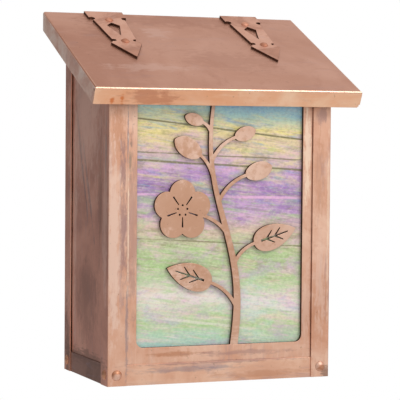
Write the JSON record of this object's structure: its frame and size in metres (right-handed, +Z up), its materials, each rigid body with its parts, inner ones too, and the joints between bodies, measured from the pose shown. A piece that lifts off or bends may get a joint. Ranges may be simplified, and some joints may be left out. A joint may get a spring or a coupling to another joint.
{
  "type": "wall mounted mailbox",
  "caption": "Copper wall mailbox with a sloping strap-hinged lid that lifts from the front and a flower-pierced window backed by streaky art glass.",
  "frame": {"origin": "centre of the four wall screw holes, on the wall plane at the back of the box", "axes": "+Z up, -Y out of the wall towards the person, +X to the right of a person facing the box"},
  "size_m": [0.2714, 0.1713, 0.3578],
  "materials": {
    "lid_copper": "matte reddish brown patinated copper sheet",
    "strap_copper": "matte patinated copper plate with dark cut edges",
    "frame_copper": "satin pinkish copper with heat tints near the seams",
    "side_copper": "satin copper sheet with diagonal grey-blue tint streaks",
    "inner_copper": "plain mill copper sheet",
    "pierced_copper": "satin light copper with dark brown cut edges",
    "rivet_copper": "burnished copper rivet heads",
    "hinge_brass": "drawn brass",
    "brass_strip": "folded brass strip",
    "hinge_steel": "drawn stainless wire",
    "art_glass": "streaky opalescent art glass, iridescent front"
  },
  "bodies": {
    "box": {"art_glass": "art_glass", "back_pan": "inner_copper", "floor_pan": "inner_copper", "flower_spray": "pierced_copper", "front_rail": "frame_copper", "glass_clip_left_high": "brass_strip", "glass_clip_left_low": "brass_strip", "glass_clip_right_high": "brass_strip", "glass_clip_right_low": "brass_strip", "hinge_back_leaf": "hinge_brass", "hinge_batten": "hinge_brass", "hinge_pin": "hinge_steel", "post_front_left": "frame_copper", "post_front_right": "frame_copper", "post_rear_left": "frame_copper", "post_rear_right": "frame_copper", "rivet_back_left_high": "rivet_copper", "rivet_back_left_low": "rivet_copper", "rivet_back_right_high": "rivet_copper", "rivet_back_right_low": "rivet_copper", "rivet_front_left": "rivet_copper", "rivet_front_right": "rivet_copper", "rivet_leaf_1": "rivet_copper", "rivet_leaf_2": "rivet_copper", "rivet_leaf_3": "rivet_copper", "rivet_leaf_4": "rivet_copper", "rivet_left_side_front": "rivet_copper", "rivet_left_side_rear": "rivet_copper", "rivet_right_side_front": "rivet_copper", "rivet_right_side_rear": "rivet_copper", "side_panel_left": "side_copper", "side_panel_right": "side_copper", "side_rail_left": "side_copper", "side_rail_right": "side_copper", "window_frame": "frame_copper"},
    "lid": {"hinge_lid_leaf": "hinge_brass", "lid_pan": "lid_copper", "rivet_strap_left_lower": "rivet_copper", "rivet_strap_left_upper": "rivet_copper", "rivet_strap_right_lower": "rivet_copper", "rivet_strap_right_upper": "rivet_copper", "strap_left": "strap_copper", "strap_right": "strap_copper"}
  },
  "joints": [
    {"name": "lid_hinge", "type": "hinge", "parent": "box", "child": "lid", "pos_m": [0, -0.00685, 0.17154], "axis": [-1, 0, 0], "range_deg": [0, 105]}
  ]
}
